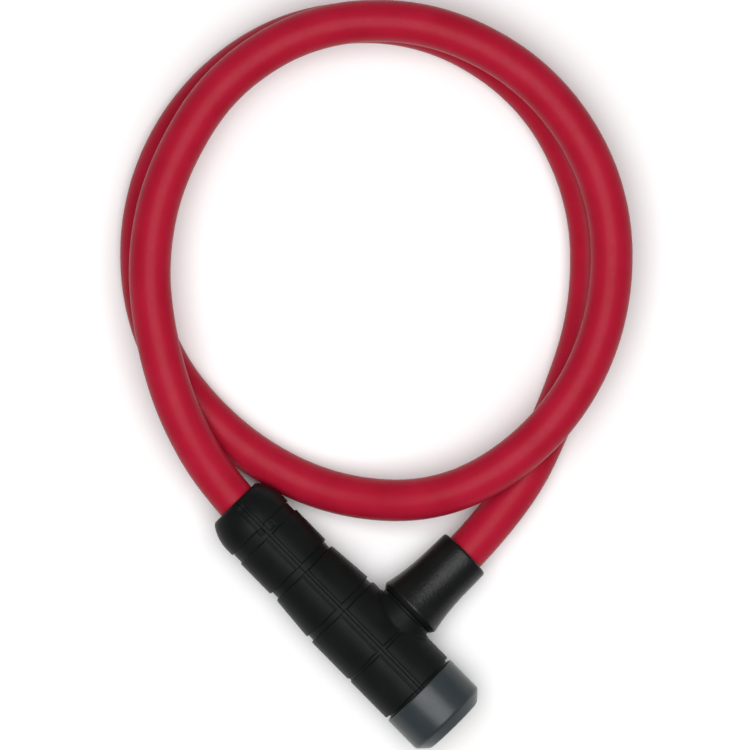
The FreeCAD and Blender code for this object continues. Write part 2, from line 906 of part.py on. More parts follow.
def cut_plug_pin(body):
    half = cell("plug_pin_half") + cell("overcut")
    rod(
        body, "Subtractive", "pin_hole", "z", cell("plug_pin_radius") + cell("press_gap"),
        (0, cell("plug_pin_station"), -half), half * 2,
    )


def plug_ferrule():
    body = ring_piece(
        "plug_ferrule", "y", cell("core_radius"), cell("ferrule_radius"),
        cell("plug_ferrule_start"), cell("plug_ferrule_end"),
    )
    cut_plug_pin(body)
    return place_piece(body, on_bolt=True)


def plug_pin():
    half = cell("plug_pin_half")
    low = (station("bolt_station"), cell("plug_pin_station"), -half)
    return pin_piece("plug_pin", "z", cell("plug_pin_radius"), low, half * 2)


# ---------------------------------------------------------------- cable


def plug_point(distance):
    """A point on the bolt's line, at a distance from the body's axis, in the row frame."""
    place = lock_place()
    return place.multVec(FreeCAD.Vector(station("bolt_station").value, distance, 0))


def cable_route():
    points = [FreeCAD.Vector(*point) for point in CABLE_ROUTE]
    return points + [plug_point(distance) for distance in PLUG_POINTS]


def cable_path(points):
    """Straight runs joined by tangent arcs: returns the wire and the arcs' radii."""
    edges = []
    radii = []
    start = points[0]
    for before, corner, after in zip(points, points[1:], points[2:]):
        back = before - corner
        ahead = after - corner
        turn = math.pi - back.getAngle(ahead)
        tangent = TANGENT_SHARE * min(back.Length, ahead.Length)
        radius = tangent / math.tan(turn / 2)
        radii.append(radius)
        back.normalize()
        ahead.normalize()
        arc_start = corner + back * tangent
        arc_end = corner + ahead * tangent
        inward = (back + ahead).normalize()
        middle = corner + inward * (radius / math.cos(turn / 2) - radius)
        edges.append(Part.LineSegment(start, arc_start).toShape())
        edges.append(Part.Arc(arc_start, middle, arc_end).toShape())
        start = arc_end
    edges.append(Part.LineSegment(start, points[-1]).toShape())
    return Part.Wire(edges), radii


def disc(point, direction, radius):
    return Part.Face(Part.Wire([Part.Circle(point, direction, radius).toShape()]))


def swept(name, points, outer, inner=0):
    """A cable solid along the route; the section's area times the length is compared with its volume."""
    path, radii = cable_path(points)
    direction = points[1] - points[0]
    section = disc(points[0], direction, outer)
    if inner:
        section = section.cut(disc(points[0], direction, inner)).Faces[0]
    tube = doc.addObject("Part::Feature", name)
    tube.Shape = path.makePipe(section)
    expected = section.Area * path.Length
    print(f"{name}: length {path.Length:.1f}, volume over section times length"
          f" {tube.Shape.Volume / expected:.4f}")
    print("arc radii:", " ".join(f"{radius:.0f}" for radius in radii))
    return tube


def cable_sheath():
    return swept(
        "cable_sheath", cable_route(), cell("cable_radius").value, cell("core_radius").value
    )


def cable_core():
    """The wire rope: the same route, running on into the two ferrules."""
    points = cable_route()
    points[0] = lock_place().multVec(FreeCAD.Vector(station("body_core_end").value, 0, 0))
    points[-1] = plug_point(cell("plug_core_end").value)
    return swept("cable_core", points, cell("core_radius").value)


# ---------------------------------------------------------------- build, check, write


def check(pieces):
    doc.recompute()
    for item in doc.Objects:
        if "Invalid" in item.State or "Error" in item.State:
            raise RuntimeError(f"{item.Name} failed: {item.State}")
    for piece in pieces:
        if piece.Shape.isNull() or not piece.Shape.isValid() or piece.Shape.Volume <= 0:
            raise RuntimeError(f"{piece.Label} has no valid shape")


def write(pieces):
    os.makedirs("parts", exist_ok=True)
    for piece in pieces:
        piece.Shape.exportStep(f"parts/{piece.Label}.step")
        box = piece.Shape.BoundBox
        print(f"{piece.Label}: {len(piece.Shape.Solids)} solid(s), {piece.Shape.Volume:.1f} mm3, "
              f"x {box.XMin:.2f} {box.XMax:.2f}, y {box.YMin:.2f} {box.YMax:.2f}, "
              f"z {box.ZMin:.2f} {box.ZMax:.2f}")


sheet = fill_sheet()
PIECES = [
    casing_plain_half(),
    casing_bolt_half(),
    end_cap(),
    lock_housing(),
    bolt_seal(),
    latch_plate(),
    latch_spring(),
    key_barrel(),
    key_rotor(),
    wafers(),
    wafer_springs(),
    rotor_clip(),
    barrel_pin(),
    body_ferrule(),
    anchor_pin(),
    plug_sleeve(),
    locking_bolt(),
    plug_ferrule(),
    plug_pin(),
    cable_sheath(),
    cable_core(),
]
check(PIECES)
write(PIECES)
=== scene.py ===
import json
import math

import bmesh
import bpy
import numpy as np
from mathutils import Matrix, Vector


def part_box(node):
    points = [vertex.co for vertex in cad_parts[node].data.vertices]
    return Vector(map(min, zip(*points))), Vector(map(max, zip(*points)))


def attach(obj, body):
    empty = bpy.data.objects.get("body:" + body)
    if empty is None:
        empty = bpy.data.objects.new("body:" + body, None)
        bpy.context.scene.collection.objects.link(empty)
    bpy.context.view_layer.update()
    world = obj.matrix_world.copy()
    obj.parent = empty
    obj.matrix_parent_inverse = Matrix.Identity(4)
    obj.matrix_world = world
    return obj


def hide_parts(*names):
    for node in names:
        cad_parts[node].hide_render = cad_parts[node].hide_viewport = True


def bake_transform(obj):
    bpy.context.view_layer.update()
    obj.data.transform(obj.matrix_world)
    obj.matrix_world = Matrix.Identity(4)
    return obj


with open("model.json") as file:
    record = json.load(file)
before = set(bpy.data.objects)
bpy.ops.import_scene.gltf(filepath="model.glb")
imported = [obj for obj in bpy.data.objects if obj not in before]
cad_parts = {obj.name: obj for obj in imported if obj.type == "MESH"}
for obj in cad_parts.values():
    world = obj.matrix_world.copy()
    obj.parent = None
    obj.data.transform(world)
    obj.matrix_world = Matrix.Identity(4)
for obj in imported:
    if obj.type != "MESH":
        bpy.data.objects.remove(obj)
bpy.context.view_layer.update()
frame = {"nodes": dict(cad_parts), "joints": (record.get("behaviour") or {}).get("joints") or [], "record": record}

# Looks for a keyed cable lock. Everything is in metres, in the CAD's frame: +X runs along the lock body
# from the cable end to the key end, +Y to the side the bolt goes in, +Z up. Sizes in millimetres are
# turned into metres with MM.

MM = 0.001
joints = {joint["name"]: joint for joint in frame["joints"]}
AXIS_POINT = Vector(joints["key_turn"]["pos_m"])
BOLT_WAY = Vector(joints["plug_slide"]["axis"]).normalized()
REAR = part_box("casing_plain_half")[0].x
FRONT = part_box("end_cap")[1].x
BOLT_X = (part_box("plug_pin")[0].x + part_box("plug_pin")[1].x) / 2


def lock_matrix(x):
    """From the lock's own frame (X along the body, Y along the bolt) to the row frame, with the own
    frame's origin on the body's axis at x."""
    along = Vector((1, 0, 0))
    up = along.cross(BOLT_WAY)
    turn = Matrix((along, BOLT_WAY, up)).transposed().to_4x4()
    return Matrix.Translation((x, AXIS_POINT.y, AXIS_POINT.z)) @ turn


# ---------------------------------------------------------------- camera

# It looks straight down from far away, turned about the vertical as the photo is.
VIEW_TURN = math.radians(45.5)
CAMERA_SPOT = (-42.6 * MM, 53.3 * MM, 1.612)
FOCAL_LENGTH = 268.8
SENSOR_WIDTH = 36
camera_data = bpy.data.cameras.new("camera")
camera_data.lens = FOCAL_LENGTH
camera_data.sensor_width = SENSOR_WIDTH
camera = bpy.data.objects.new("camera", camera_data)
camera.location = CAMERA_SPOT
camera.rotation_euler = (0, 0, VIEW_TURN)
bpy.context.scene.collection.objects.link(camera)
bpy.context.scene.camera = camera

# ---------------------------------------------------------------- mesh helpers


def smooth_object(name, mesh, sharp=None):
    """An object with smooth shading, and edges sharper than this many degrees kept crisp."""
    for polygon in mesh.polygons:
        polygon.use_smooth = True
    if sharp:
        mesh.set_sharp_from_angle(angle=math.radians(sharp))
    piece = bpy.data.objects.new(name, mesh)
    bpy.context.scene.collection.objects.link(piece)
    return piece


def grid_faces(rows, columns, wrap_rows=False):
    """Quads over a grid of points numbered row by row, with each row joined into a ring."""
    row = np.arange(rows if wrap_rows else rows - 1)
    row, column = (part.ravel() for part in np.meshgrid(row, np.arange(columns), indexing="ij"))
    below = (row + 1) % rows
    beside = (column + 1) % columns
    return np.stack(
        [row * columns + column, row * columns + beside,
         below * columns + beside, below * columns + column], axis=1
    )


def build_mesh(name, points, faces):
    """A mesh with its normals turned outwards."""
    mesh = bpy.data.meshes.new(name)
    mesh.from_pydata(np.asarray(points).reshape(-1, 3).tolist(), [], [list(map(int, f)) for f in faces])
    mesh.validate()
    tidy = bmesh.new()
    tidy.from_mesh(mesh)
    bmesh.ops.recalc_face_normals(tidy, faces=tidy.faces)
    tidy.to_mesh(mesh)
    tidy.free()
    return mesh


def rounded(corners, steps):
    """A closed outline through corners (along, radius, round), each rounded by a short curve."""
    points = []
    for index, (along, radius, cut) in enumerate(corners):
        here = np.array((along, radius), float)
        if not cut:
            points.append(here)
            continue
        before = np.array(corners[index - 1][:2], float) - here
        after = np.array(corners[(index + 1) % len(corners)][:2], float) - here
        start = here + before / np.linalg.norm(before) * min(cut, np.linalg.norm(before) / 2)
        end = here + after / np.linalg.norm(after) * min(cut, np.linalg.norm(after) / 2)
        for t in np.linspace(0, 1, steps + 1):
            points.append((1 - t) ** 2 * start + 2 * t * (1 - t) * here + t**2 * end)
    return np.array(points)


def lathe(name, outline, matrix, about, segments):
    """A piece turned about X or Y from a closed outline of (along, radius) in millimetres."""
    angles = np.linspace(0, 2 * math.pi, segments, endpoint=False)
    along = np.repeat(outline[:, :1], segments, axis=1)
    side = outline[:, 1:] * np.cos(angles)
    rise = outline[:, 1:] * np.sin(angles)
    order = (along, side, rise) if about == "x" else (side, along, rise)
    mesh = build_mesh(name, np.stack(order, axis=2) * MM, grid_faces(len(outline), segments, wrap_rows=True))
    mesh.transform(matrix)
    return smooth_object(name, mesh, sharp=32)


def carried_frames(points):
    """Unit tangents, and two side vectors carried along the line without twisting."""
    tangents = np.gradient(points, axis=0)
    tangents /= np.linalg.norm(tangents, axis=1)[:, None]
    side = np.cross(tangents[0], (0.0, 0.0, 1.0))
    side /= np.linalg.norm(side)
    sides = []
    for tangent in tangents:
        side = side - tangent * side.dot(tangent)
        side /= np.linalg.norm(side)
        sides.append(side)
    sides = np.array(sides)
    return tangents, sides, np.cross(tangents, sides)


def travelled_along(points):
    """How far along the line each of its points is."""
    return np.concatenate([[0], np.cumsum(np.linalg.norm(np.diff(points, axis=0), axis=1))])


def rings(points, radii, segments, frames=None):
    """Rings of points about a line: one row for each point of the line. The radii are one for each row,
    or one for each point of each row."""
    tangents, sides, ups = frames or carried_frames(points)
    angles = np.linspace(0, 2 * math.pi, segments, endpoint=False)
    spread = np.asarray(radii)
    spread = spread[:, None, None] if spread.ndim == 1 else spread
    around = sides[:, None] * np.cos(angles)[None, :, None] + ups[:, None] * np.sin(angles)[None, :, None]
    return points[:, None] + around * spread


def capped_tube(points, radius, segments):
    """The points and faces of a solid round bar along a line."""
    grid = rings(points, np.full(len(points), radius), segments)
    faces = [list(face) for face in grid_faces(len(points), segments)]
    last = (len(points) - 1) * segments
    faces.append(list(range(segments)))
    faces.append(list(range(last, last + segments)))
    return grid.reshape(-1, 3), faces


def joined_tubes(name, lines, radius, segments):
    """Several solid bars as one mesh."""
    all_points, all_faces = [], []
    for line in lines:
        points, faces = capped_tube(line, radius, segments)
        shift = sum(len(part) for part in all_points)
        all_points.append(points)
        all_faces += [[index + shift for index in face] for face in faces]
    return smooth_object(name, build_mesh(name, np.concatenate(all_points), all_faces), sharp=60)


# ---------------------------------------------------------------- cable

# The cable's route, in millimetres, from inside the body's rear to the plug. It repeats the CAD's points,
# with the two on the way down past the body moved by about a millimetre to where the photo shows them.
ROUTE_TOP = 18.5
ROUTE_LOW = 6.1
CABLE_ROUTE = [
    (-27.5, -0.78, 12.4),
    (-50.0, -0.78, 12.4),
    (-73.0, 5.0, 18.0),
    (-94.0, 16.0, ROUTE_TOP),
    (-112.5, 31.0, ROUTE_TOP),
    (-126.0, 52.0, ROUTE_TOP),
    (-133.5, 82.0, ROUTE_TOP),
    (-125.5, 113.0, ROUTE_TOP),
    (-101.5, 137.0, ROUTE_TOP),
    (-67.0, 146.5, ROUTE_TOP),
    (-32.0, 137.5, ROUTE_TOP),
    (-6.0, 111.5, ROUTE_TOP),
    (4.5, 78.0, 19.6),
    (-2.0, 42.5, 16.5),
    (-27.6, 18.6, 6.5),
    (-61.5, 9.5, ROUTE_LOW),
    (-96.0, 14.0, ROUTE_LOW),
    (-124.0, 37.5, ROUTE_LOW),
    (-136.5, 71.0, ROUTE_LOW),
    (-131.0, 106.5, ROUTE_LOW),
    (-106.0, 134.0, ROUTE_LOW),
    (-70.0, 143.5, ROUTE_LOW),
    (-36.5, 133.5, ROUTE_LOW),
    (-12.5, 111.0, ROUTE_LOW),
    (1.5, 83.5, ROUTE_LOW),
]
BOLT_LINE = lock_matrix(BOLT_X)
CORE_START_X = -14.55
PLUG_BEND = 55.0
SHEATH_END = 28.2
CORE_END = 19.8
CABLE_RADIUS = 6.0 * MM
SHEATH_BORE = 4.05 * MM
STRAND_RADIUS = 1.31 * MM
STRAND_CIRCLE = 2.64 * MM
STRAND_LAY = 52 * MM
ROPE_SEGMENTS = 12
# The covering's surface: its facets, its three waves of unevenness (each 2 pi times this long), how far
# they rise, and the rounding of its cut ends.
SHEATH_SEGMENTS = 56
WANDER_LENGTHS = (21.0 * MM, 12.7 * MM, 4.9 * MM)
WANDER_HEIGHT = 0.012 * MM
WANDER_ROOM = 0.03 * MM
CUT_END_ROUND = 0.4 * MM
CUT_END_DROP = 0.25 * MM


def on_bolt_line(distance):
    """The point on the bolt's axis at this distance in millimetres from the body's axis."""
    return BOLT_LINE @ Vector((0, distance * MM, 0))


def smooth_line(name, points):
    """Points read from a NURBS spline that has these control points."""
    curve = bpy.data.curves.new(name, "CURVE")
    curve.dimensions = "3D"
    curve.resolution_u = 24
    spline = curve.splines.new("NURBS")
    spline.points.add(len(points) - 1)
    for point, place in zip(spline.points, points):
        point.co = (*place, 1)
    spline.order_u = 3
    spline.use_endpoint_u = True
    holder = bpy.data.objects.new(name, curve)
    bpy.context.scene.collection.objects.link(holder)
    bpy.context.view_layer.update()
    mesh = bpy.data.meshes.new_from_object(holder)
    line = np.array([vertex.co for vertex in mesh.vertices], float)
    bpy.data.meshes.remove(mesh)
    bpy.data.objects.remove(holder)
    bpy.data.curves.remove(curve)
    keep = np.concatenate([[True], np.linalg.norm(np.diff(line, axis=0), axis=1) > 1e-6])
    return line[keep]


def route_points(start_x, end_distance):
    """The route in metres, from start_x inside the body to end_distance along the bolt's axis."""
    points = [Vector(point) * MM for point in CABLE_ROUTE]
    points[0] = Vector((start_x * MM, points[0].y, points[0].z))
    return points + [on_bolt_line(PLUG_BEND), on_bolt_line(end_distance)]


def cable_sheath():
    """The covering: a tube whose thickness wanders by a few hundredths of a millimetre, as drawn PVC
    does, with slightly rounded cut ends."""
    line = smooth_line("sheath_line", route_points(CABLE_ROUTE[0][0], SHEATH_END))
    travelled = travelled_along(line)
    angles = np.linspace(0, 2 * math.pi, SHEATH_SEGMENTS, endpoint=False)[None]
    long_wave, middle_wave, short_wave = (travelled[:, None] / length for length in WANDER_LENGTHS)
    wander = (
        np.sin(long_wave + 2 * angles)
        + np.sin(middle_wave - 3 * angles)
        + 0.6 * np.sin(short_wave + angles)
    )
    outer_radii = CABLE_RADIUS - WANDER_ROOM + WANDER_HEIGHT * wander
    from_end = np.minimum(travelled, travelled[-1] - travelled)
    end_round = np.clip(1 - from_end / CUT_END_ROUND, 0, 1) ** 2
    outer_radii = outer_radii - CUT_END_DROP * end_round[:, None]
    frames = carried_frames(line)
    outer = rings(line, outer_radii[:, :, None], SHEATH_SEGMENTS, frames)
    inner = rings(line, np.full(len(line), SHEATH_BORE), SHEATH_SEGMENTS, frames)
    points = np.concatenate([outer, inner[::-1]])
    faces = grid_faces(len(points), SHEATH_SEGMENTS, wrap_rows=True)
    mesh = build_mesh("cable_covering", points, faces)
    return smooth_object("cable_covering", mesh, sharp=50), line


def cable_core():
    """The wire rope: six strands laid round a seventh."""
    line = smooth_line("rope_line", route_points(CORE_START_X, CORE_END))
    _, sides, ups = carried_frames(line)
    travelled = travelled_along(line)
    strands = [line]
    for index in range(6):
        phase = travelled / STRAND_LAY * 2 * math.pi + index * math.pi / 3
        offset = sides * np.cos(phase)[:, None] + ups * np.sin(phase)[:, None]
        strands.append(line + offset * STRAND_CIRCLE)
    return joined_tubes("wire_rope", strands, STRAND_RADIUS, ROPE_SEGMENTS)


covering, covering_line = cable_sheath()
rope = cable_core()

# ---------------------------------------------------------------- casing

# Everything in this section is in millimetres, in the lock's own frame. Stations are distances from the
# body's rear face. The casing has four tiles with channels between them, a seam along the top, and a clip
# pad near the rear. Where a value is given for 1 and -1, 1 is the bolt's side.
SLIM = 11.1
WIDE = 12.3
TAPER_END = 12.2
REAR_ROUND = 12.83
REAR_ROUND_END = 8.0
TILE_TWO = (28.25, 41.5)
TILE_FOUR_END = 73.9
CASING_END = 76.8
# Each channel as its first station, its last station and its depth.
CHANNELS = [(10.0, 13.65, 0.5), (25.5, 28.25, 0.8), (41.5, 43.8, 0.7), (58.3, 59.6, 0.4)]
CHANNEL_RAMP = 0.28
# How far in from a tile's edge its rounding starts, and how far it drops.
EDGE_ROUND = 0.35
EDGE_DROP = 0.09
# The seam channel's half width and how soft its edge is, and the stations where it comes in.
SEAM_HALF = {1: 1.05, -1: 1.5}
SEAM_EDGE = {1: 0.12, -1: 0.9}
SEAM_DEPTH = 0.42
SEAM_START = (1.0, 3.0)
PART_LINE_FLAT = 0.02
PART_LINE_HALF = 0.14
PART_LINE_DEPTH = 0.3
# The clip pad's first and last stations, then its nearest and farthest distances from the parting line.
CLIP_PAD = {1: (9.9, 12.5, 1.25, 3.4), -1: (10.2, 11.9, 0.5, 1.75)}
CLIP_PAD_EDGE = 0.15
CLIP_PAD_DROP = 0.12
# The groove round the clip pad.
MOAT_WIDTH = 0.3
MOAT_EDGE = 0.12
MOAT_DEPTH = 0.16
# How far the casing's ends and the cable's mouth are eased, and over what length.
REAR_EDGE = (0.35, 0.5)
FRONT_EDGE = (0.2, 0.2)
MOUTH_EDGE = (0.3, 0.5)
# The boss: a root that blends into the casing, a rim, and a narrower neck up to its face. The rim stands
# 0.65 mm further out than the CAD's, as the photo shows it.
BOLT_STATION = (BOLT_X - REAR) / MM
BOSS_RADIUS = 9.8
BOSS_RIM = 12.4
BOSS_NECK = 8.7
BOSS_FACE = 13.3
BOSS_FILLET = 0.5
BOSS_EDGE = 0.3
BOSS_SKIN = 0.05
BOSS_ROOT = 7.5
BOSS_REACH = BOSS_RADIUS + 2
BOSS_BORE = 6.5
BORE_MOUTH = BOSS_BORE + 0.4
# Vertices closer than this after the cuts become one.
WELD = 0.004
# How far to each side of the clip pad's edges the mesh is finer.
FINE_OUTSIDE = 0.32
FINE_INSIDE = 0.18
CAVITY_RADIUS = 9.35
CABLE_BORE = 6.15
CABLE_MOUTH = 7.2
CABLE_MOUTH_DEPTH = 9.0
REAR_WALL_END = 16.0


def ramp(value, low, high):
    """0 below low, 1 above high, and a smooth step between."""
    t = np.clip((value - low) / (high - low), 0, 1)
    return t * t * (3 - 2 * t)


def outer_profile(u):
    """The casing's radius without its channels."""
    rear = np.sqrt(REAR_ROUND**2 - np.clip(REAR_ROUND_END - u, 0, None) ** 2) - REAR_ROUND + SLIM
    slope = SLIM + (TAPER_END - SLIM) * (u - TILE_TWO[0]) / (TILE_TWO[1] - TILE_TWO[0])
    radius = np.where(u < TILE_TWO[0], rear, slope)
    widened = TAPER_END + (WIDE - TAPER_END) * ramp(u, *CHANNELS[2][:2])
    radius = np.where(u > TILE_TWO[1], widened, radius)
    neck = ramp(u, TILE_FOUR_END, TILE_FOUR_END + CHANNEL_RAMP)
    return radius - (radius - SLIM) * neck


def channel_depth(u):
    """How far the channels go in at each station, with the tiles' edges slightly rounded."""
    depth = np.zeros_like(u)
    for start, end, deep in CHANNELS:
        inside = ramp(u, start, start + CHANNEL_RAMP) * ramp(-u, -end, -end + CHANNEL_RAMP)
        depth = np.maximum(depth, deep * inside)
        for edge, way in ((start, -1), (end, 1)):
            gone = np.clip(way * (u - edge) / EDGE_ROUND, 0, 1)
            near = (way * (u - edge) >= 0) * (1 - gone) ** 2
            depth = np.maximum(depth, EDGE_DROP * near)
    gone = np.clip((TILE_FOUR_END - u) / EDGE_ROUND, 0, 1)
    return np.maximum(depth, EDGE_DROP * (u <= TILE_FOUR_END) * (1 - gone) ** 2)


def window(value, low, high, edge):
    """1 between low and high and 0 outside, with smooth edges."""
    return ramp(value, low, low + edge) * ramp(-value, -high, -high + edge)


def casing_radius(u, angle, side):
    """The casing's radius at a station and an angle from the parting line on top. The seam channel has
    a crisp edge on the bolt's side and fades out on the other."""
    plain = outer_profile(u)
    across = plain * np.minimum(angle, math.pi - angle)
    deep = channel_depth(u)
    start, end, near, far = CLIP_PAD[side]
    on_top = angle < math.pi / 2
    moat_length = window(u, start - MOAT_WIDTH, end + MOAT_WIDTH, MOAT_EDGE)
    moat = moat_length * window(across, near - MOAT_WIDTH, far + MOAT_WIDTH, MOAT_EDGE) * on_top
    pad = window(u, start, end, CLIP_PAD_EDGE) * window(across, near, far, CLIP_PAD_EDGE) * on_top
    deep = deep + MOAT_DEPTH * moat
    deep = deep * (1 - pad) + CLIP_PAD_DROP * pad
    low, high = SEAM_HALF[side] - SEAM_EDGE[side], SEAM_HALF[side] + SEAM_EDGE[side]
    seam = SEAM_DEPTH * (1 - ramp(across, low, high)) * ramp(u, *SEAM_START)
    line = PART_LINE_DEPTH * (1 - ramp(across, PART_LINE_FLAT, PART_LINE_HALF))
    return plain - np.maximum(deep, seam) - line


def smooth_min(a, b, k):
    """The smaller of two values, rounded off where they differ by less than k."""
    blend = np.maximum(k - np.abs(a - b), 0) / k
    return np.minimum(a, b) - blend * blend * k / 4


def with_boss(u, angle, plain):
    """Pushes the radius out to where a smooth union of the casing and the boss's root ends, found by
    halving."""
    beyond_boss = 18.0
    halvings = 26
    low = np.minimum(CAVITY_RADIUS, plain - 0.5)
    high = np.full(plain.shape, beyond_boss)
    for _ in range(halvings):
        middle = (low + high) / 2
        side = middle * np.sin(angle)
        rise = middle * np.cos(angle)
        around = np.hypot(u - BOLT_STATION, rise) - BOSS_RADIUS + BOSS_SKIN
        boss = -smooth_min(-around, BOSS_RIM - 2 * BOSS_EDGE - side, BOSS_EDGE)
        outside = smooth_min(middle - plain, boss, BOSS_FILLET) > 0
        high = np.where(outside, middle, high)
        low = np.where(outside, low, middle)
    return (low + high) / 2


def inner_profile(u):
    """The radius of the cable's bore in the rear wall, and of the cavity beyond it."""
    mouth = CABLE_MOUTH + (CABLE_BORE - CABLE_MOUTH) * np.clip(u / CABLE_MOUTH_DEPTH, 0, 1)
    return np.where(u < REAR_WALL_END, mouth, CAVITY_RADIUS)


def without_neighbours(values, gap):
    """The values in order, without those closer than gap to the one before."""
    values = np.unique(np.round(values, 3))
    return values[np.concatenate([[True], np.diff(values) > gap])]


def stations(side):
    """The casing's stations, closest together where the surface has edges."""
    values = list(np.linspace(0, REAR_ROUND_END, 26)) + [0.03, 0.12]
    edges = [value for channel in CHANNELS for value in channel[:2]] + [TILE_FOUR_END]
    for edge in edges:
        values += list(edge + np.linspace(-EDGE_ROUND, EDGE_ROUND, 13))
    start, end = CLIP_PAD[side][:2]
    values += list(np.linspace(start - FINE_OUTSIDE, start + FINE_INSIDE, 7))
    values += list(np.linspace(end - FINE_INSIDE, end + FINE_OUTSIDE, 7))
    values += list(np.arange(9, CASING_END, 1.0))
    values += [REAR_WALL_END - 0.01, REAR_WALL_END + 0.01, CASING_END - 0.15, CASING_END]
    if side > 0:
        reach = BOSS_RADIUS + 1.6
        values += list(BOLT_STATION + np.linspace(-reach, reach, 100))
    return without_neighbours(values, 0.012)


def angle_list(side):
    """Angles from one parting line round to the other. They come from distances across the surface, and
    are closest together where it has edges."""
    near, far = CLIP_PAD[side][2:]
    low, high = SEAM_HALF[side] - SEAM_EDGE[side], SEAM_HALF[side] + SEAM_EDGE[side]
    across = np.concatenate([
        [0, 0.04, 0.09, PART_LINE_HALF, 0.3],
        np.linspace(low - 0.04, high + 0.04, 10),
        np.linspace(near - FINE_OUTSIDE, near + FINE_INSIDE, 6),
        np.linspace(far - FINE_INSIDE, far + FINE_OUTSIDE, 6),
        np.arange(0.6, 4.2, 0.4),
    ])
    typical_radius = 11.6
    close = without_neighbours(across, 0.025) / typical_radius
    step = 0.03
    middle = np.linspace(close[-1] + step, math.pi - close[-1] - step, 108 if side > 0 else 60)
    return np.concatenate([close, middle, math.pi - close[::-1]])


def casing_half(name, side):
    """One moulded half as a closed shell; side 1 is the bolt's side, which carries the boss."""
    has_boss = side > 0
    u = stations(side)
    angles = angle_list(side)
    grid_u, grid_a = np.meshgrid(u, angles, indexing="ij")
    outer = casing_radius(grid_u, grid_a, side)
    if has_boss:
        near = np.abs(u - BOLT_STATION) < BOSS_REACH
        outer[near] = with_boss(grid_u[near], grid_a[near], outer[near])
    rear_edge = REAR_EDGE[0] * (1 - ramp(grid_u, 0, REAR_EDGE[1]))
    front_edge = FRONT_EDGE[0] * ramp(grid_u, CASING_END - FRONT_EDGE[1], CASING_END)
    outer = outer - rear_edge - front_edge
    inner = inner_profile(grid_u) + MOUTH_EDGE[0] * (1 - ramp(grid_u, 0, MOUTH_EDGE[1]))

    def points(radius):
        across = side * radius * np.sin(grid_a) * MM
        return np.stack([grid_u * MM + REAR, across, radius * np.cos(grid_a) * MM], axis=2)

    loop = np.concatenate([points(outer), points(inner)[:, ::-1]], axis=1)
    rows, columns = loop.shape[:2]
    faces = [list(face) for face in grid_faces(rows, columns)]
    for row in (0, rows - 1):
        start = row * columns
        for step in range(len(angles) - 1):
            far = columns - 1 - step
            faces.append([start + step, start + step + 1, start + far - 1, start + far])
    mesh = build_mesh(name, loop, faces)
    if has_boss:
        mesh = with_bolt_entry(mesh)
    mesh.transform(lock_matrix(0))
    return smooth_object(name, mesh, sharp=28)


def bar(name, outline, matrix):
    """A solid round bar along Y from (along, radius) in millimetres."""
    segments = 96
    angles = np.linspace(0, 2 * math.pi, segments, endpoint=False)
    points = [
        (radius * MM * math.cos(angle), along * MM, radius * MM * math.sin(angle))
        for along, radius in outline for angle in angles
    ]
    faces = [list(face) for face in grid_faces(len(outline), segments)]
    faces.append(list(range(segments)))
    faces.append(list(range((len(outline) - 1) * segments, len(outline) * segments)))
    mesh = build_mesh(name, points, faces)
    mesh.transform(matrix)
    return smooth_object(name, mesh)


def with_bolt_entry(mesh):
    """Adds the boss's rim and neck, clears the casing's inside, cuts the hole for the bolt, and welds the
    slivers that the cuts leave."""
    at_bolt = Matrix.Translation((BOLT_X, 0, 0))
    overlap = 0.2
    collar = rounded([
        (BOSS_ROOT, BOSS_BORE - overlap, 0),
        (BOSS_ROOT, BOSS_RADIUS, 0),
        (BOSS_RIM, BOSS_RADIUS, 0.4),
        (BOSS_RIM, BOSS_NECK, 0.15),
        (BOSS_FACE, BOSS_NECK, 0.3),
        (BOSS_FACE, BOSS_BORE - overlap, 0),
    ], steps=5)
    bore = [
        (5.0, BOSS_BORE),
        (BOSS_FACE - 0.3, BOSS_BORE),
        (BOSS_FACE + 0.1, BORE_MOUTH),
        (BOSS_FACE + 3.0, BORE_MOUTH),
    ]
    lengthwise = Matrix.Rotation(-math.pi / 2, 4, "Z")
    clear_radius = CAVITY_RADIUS - 0.02
    inside = [
        (REAR / MM + REAR_WALL_END + 0.05, clear_radius),
        (REAR / MM + CASING_END + 1, clear_radius),
    ]
    tools = [
        (lathe("boss_collar", collar, at_bolt, about="y", segments=160), "UNION"),
        (bar("casing_inside", inside, lengthwise), "DIFFERENCE"),
        (bar("bolt_hole", bore, at_bolt), "DIFFERENCE"),
    ]
    holder = smooth_object("casing_blank", mesh)
    for tool, operation in tools:
        step = holder.modifiers.new(tool.name, "BOOLEAN")
        step.object = tool
        step.operation = operation
        step.solver = "EXACT"
    bpy.context.view_layer.update()
    result = bpy.data.meshes.new_from_object(holder.evaluated_get(bpy.context.evaluated_depsgraph_get()))
    for item in [holder] + [tool for tool, _ in tools]:
        bpy.data.objects.remove(item)
    clean = bmesh.new()
    clean.from_mesh(result)
    bmesh.ops.remove_doubles(clean, verts=clean.verts, dist=WELD * MM)
    bmesh.ops.dissolve_degenerate(clean, dist=WELD / 2 * MM, edges=clean.edges)
    clean.to_mesh(result)
    clean.free()
    return result


shell_plain = casing_half("shell_plain_side", -1)
shell_bolt = casing_half("shell_bolt_side", 1)

# ---------------------------------------------------------------- cap and plug sleeve

# In millimetres: the cap's sizes along the body count from the body's rear face.
CAP_START = 74.9
CAP_RADIUS = 12.4
CAP_CHAMFER = 2.9
CAP_FACE_RADIUS = 9.3
CAP_KEY_HOLE = 6.7
CAP_FACE_THICK = 2.2
CAP_INSIDE = 9.4
CAP_SKIRT_BORE = 11.2
CAP_SKIRT = 2.1


